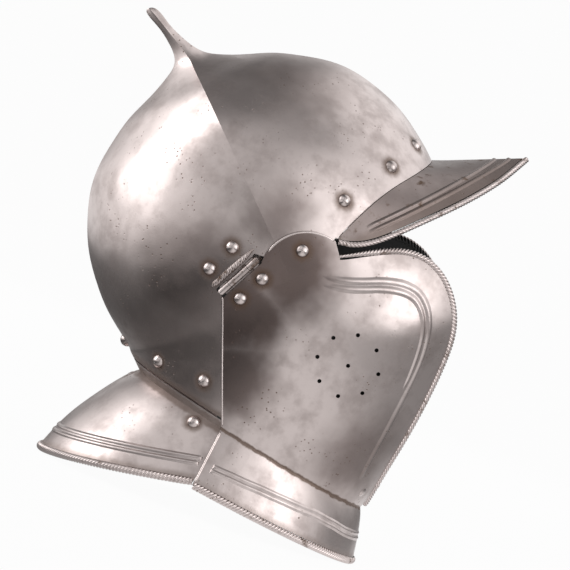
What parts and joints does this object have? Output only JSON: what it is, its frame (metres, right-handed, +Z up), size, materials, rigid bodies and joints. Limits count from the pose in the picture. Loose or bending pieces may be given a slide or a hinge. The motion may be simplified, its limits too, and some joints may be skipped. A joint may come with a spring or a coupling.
{
  "type": "helmet",
  "caption": "Open-faced burgonet helmet with a spiked skull, pointed peak, flared nape plate and hinged cheekpieces with roped edges.",
  "frame": {"origin": "middle of the helmet's outline on the surface that it stands on", "axes": "+X the way the face looks, +Y the wearer's left, +Z up as the helmet stands on its rims"},
  "size_m": [0.2579, 0.1972, 0.2906],
  "materials": {
    "polished_iron": "worn polished iron with a grey-brown patina",
    "dark_iron": "darkened iron with brown rust at the seams"
  },
  "bodies": {
    "skull_body": {"brow_rivets": "dark_iron", "hinge_skull_rivets": "dark_iron", "nape_lining_rivets": "dark_iron", "nape_pin": "dark_iron", "nape_plate": "polished_iron", "nape_rivets": "dark_iron", "nape_roped_edge": "polished_iron", "peak": "polished_iron", "peak_roped_edge": "polished_iron", "skull": "polished_iron", "right_hinge_notched_bead": "dark_iron", "right_hinge_pin": "dark_iron", "right_hinge_skull_leaf": "dark_iron", "left_hinge_notched_bead": "dark_iron", "left_hinge_pin": "dark_iron", "left_hinge_skull_leaf": "dark_iron"},
    "right_cheek": {"right_cheek_roped_edge": "polished_iron", "right_cheekpiece": "polished_iron", "right_collar_roped_edge": "polished_iron", "right_ear_rivet": "dark_iron", "right_hinge_cheek_leaf": "dark_iron", "right_hinge_cheek_rivets": "dark_iron", "right_throat_rivet": "dark_iron"},
    "left_cheek": {"left_cheek_roped_edge": "polished_iron", "left_cheekpiece": "polished_iron", "left_collar_roped_edge": "polished_iron", "left_ear_rivet": "dark_iron", "left_hinge_cheek_leaf": "dark_iron", "left_hinge_cheek_rivets": "dark_iron", "left_throat_rivet": "dark_iron"}
  },
  "joints": [
    {"name": "right_cheek_hinge", "type": "hinge", "parent": "skull_body", "child": "right_cheek", "pos_m": [-0.02301, -0.09157, 0.15009], "axis": [-0.4371, 0.2366, -0.8677], "range_deg": [0, 95]},
    {"name": "left_cheek_hinge", "type": "hinge", "parent": "skull_body", "child": "left_cheek", "pos_m": [-0.02301, 0.09157, 0.15009], "axis": [0.4371, 0.2366, 0.8677], "range_deg": [0, 95]}
  ]
}
